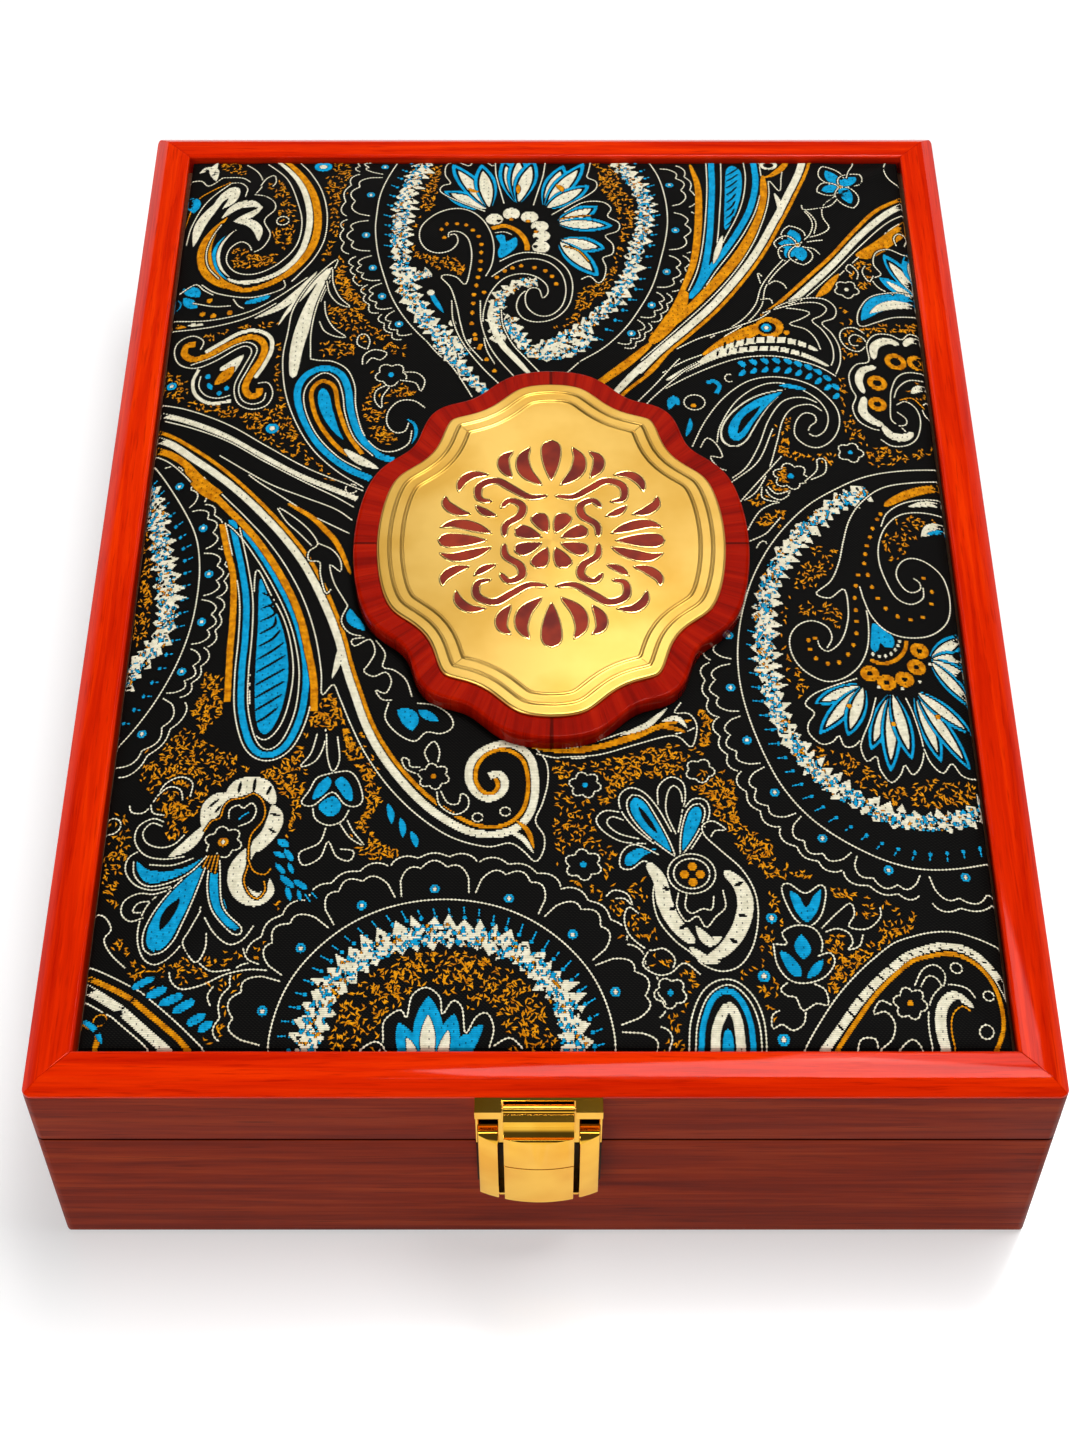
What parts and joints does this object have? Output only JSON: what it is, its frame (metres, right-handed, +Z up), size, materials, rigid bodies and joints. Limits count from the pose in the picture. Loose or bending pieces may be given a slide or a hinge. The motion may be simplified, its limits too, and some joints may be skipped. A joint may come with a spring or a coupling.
{
  "type": "book box",
  "caption": "Lacquered wooden book box with a padded brocade lid in a bevelled frame, a scalloped gold medallion, rear butt hinges and a sprung drop-hasp latch.",
  "frame": {"origin": "centre of the flat underside, on the table", "axes": "+X to the right, +Y from the latch to the hinges, +Z up"},
  "size_m": [0.22, 0.3144, 0.0746],
  "materials": {
    "lacquer": "gloss red lacquer",
    "walnut": "gloss lacquer over brown grain",
    "board": "plain board",
    "rosewood": "gloss lacquer",
    "velvet": "velvet",
    "foam": "soft foam",
    "brocade": "woven brocade with paisleys",
    "plate_gold": "satin gold",
    "latch_gold": "polished gold",
    "hinge_brass": "brushed brass",
    "steel": "bright zinc"
  },
  "bodies": {
    "base": {"base_front_wall": "walnut", "base_back_wall": "walnut", "base_left_wall": "walnut", "base_right_wall": "walnut", "base_bottom_panel": "board", "liner_front": "velvet", "liner_back": "velvet", "liner_left": "velvet", "liner_right": "velvet", "floor_pad": "velvet", "hinge_base_leaf_left": "hinge_brass", "hinge_base_leaf_right": "hinge_brass", "hinge_pins": "hinge_brass", "hinge_base_screws": "hinge_brass", "latch_base_plate": "latch_gold", "latch_catch_block": "latch_gold", "latch_posts": "latch_gold", "latch_spring": "steel", "latch_base_screws": "steel"},
    "lid": {"lid_front_wall": "walnut", "lid_back_wall": "walnut", "lid_left_wall": "walnut", "lid_right_wall": "walnut", "frame_front": "lacquer", "frame_back": "lacquer", "frame_left": "lacquer", "frame_right": "lacquer", "lid_panel": "board", "foam_pad": "foam", "brocade_cover": "brocade", "lid_lining": "velvet", "medallion_plaque": "rosewood", "medallion_plate": "plate_gold", "medallion_screws": "steel", "hinge_lid_leaf_left": "hinge_brass", "hinge_lid_leaf_right": "hinge_brass", "hinge_lid_screws": "hinge_brass", "latch_lid_plate": "latch_gold", "latch_lid_screws": "hinge_brass", "latch_pin": "hinge_brass"},
    "hasp": {"latch_hasp": "latch_gold"}
  },
  "joints": [
    {"name": "lid_hinge", "type": "hinge", "parent": "base", "child": "lid", "pos_m": [0, 0.1515, 0.045], "axis": [-1, 0, 0], "range_deg": [0, 98], "deforming": ["latch_spring"]},
    {"name": "hasp_hinge", "type": "hinge", "parent": "lid", "child": "hasp", "pos_m": [-0.0014, -0.1562, 0.0624], "axis": [-1, 0, 0], "range_deg": [0, 110]}
  ]
}
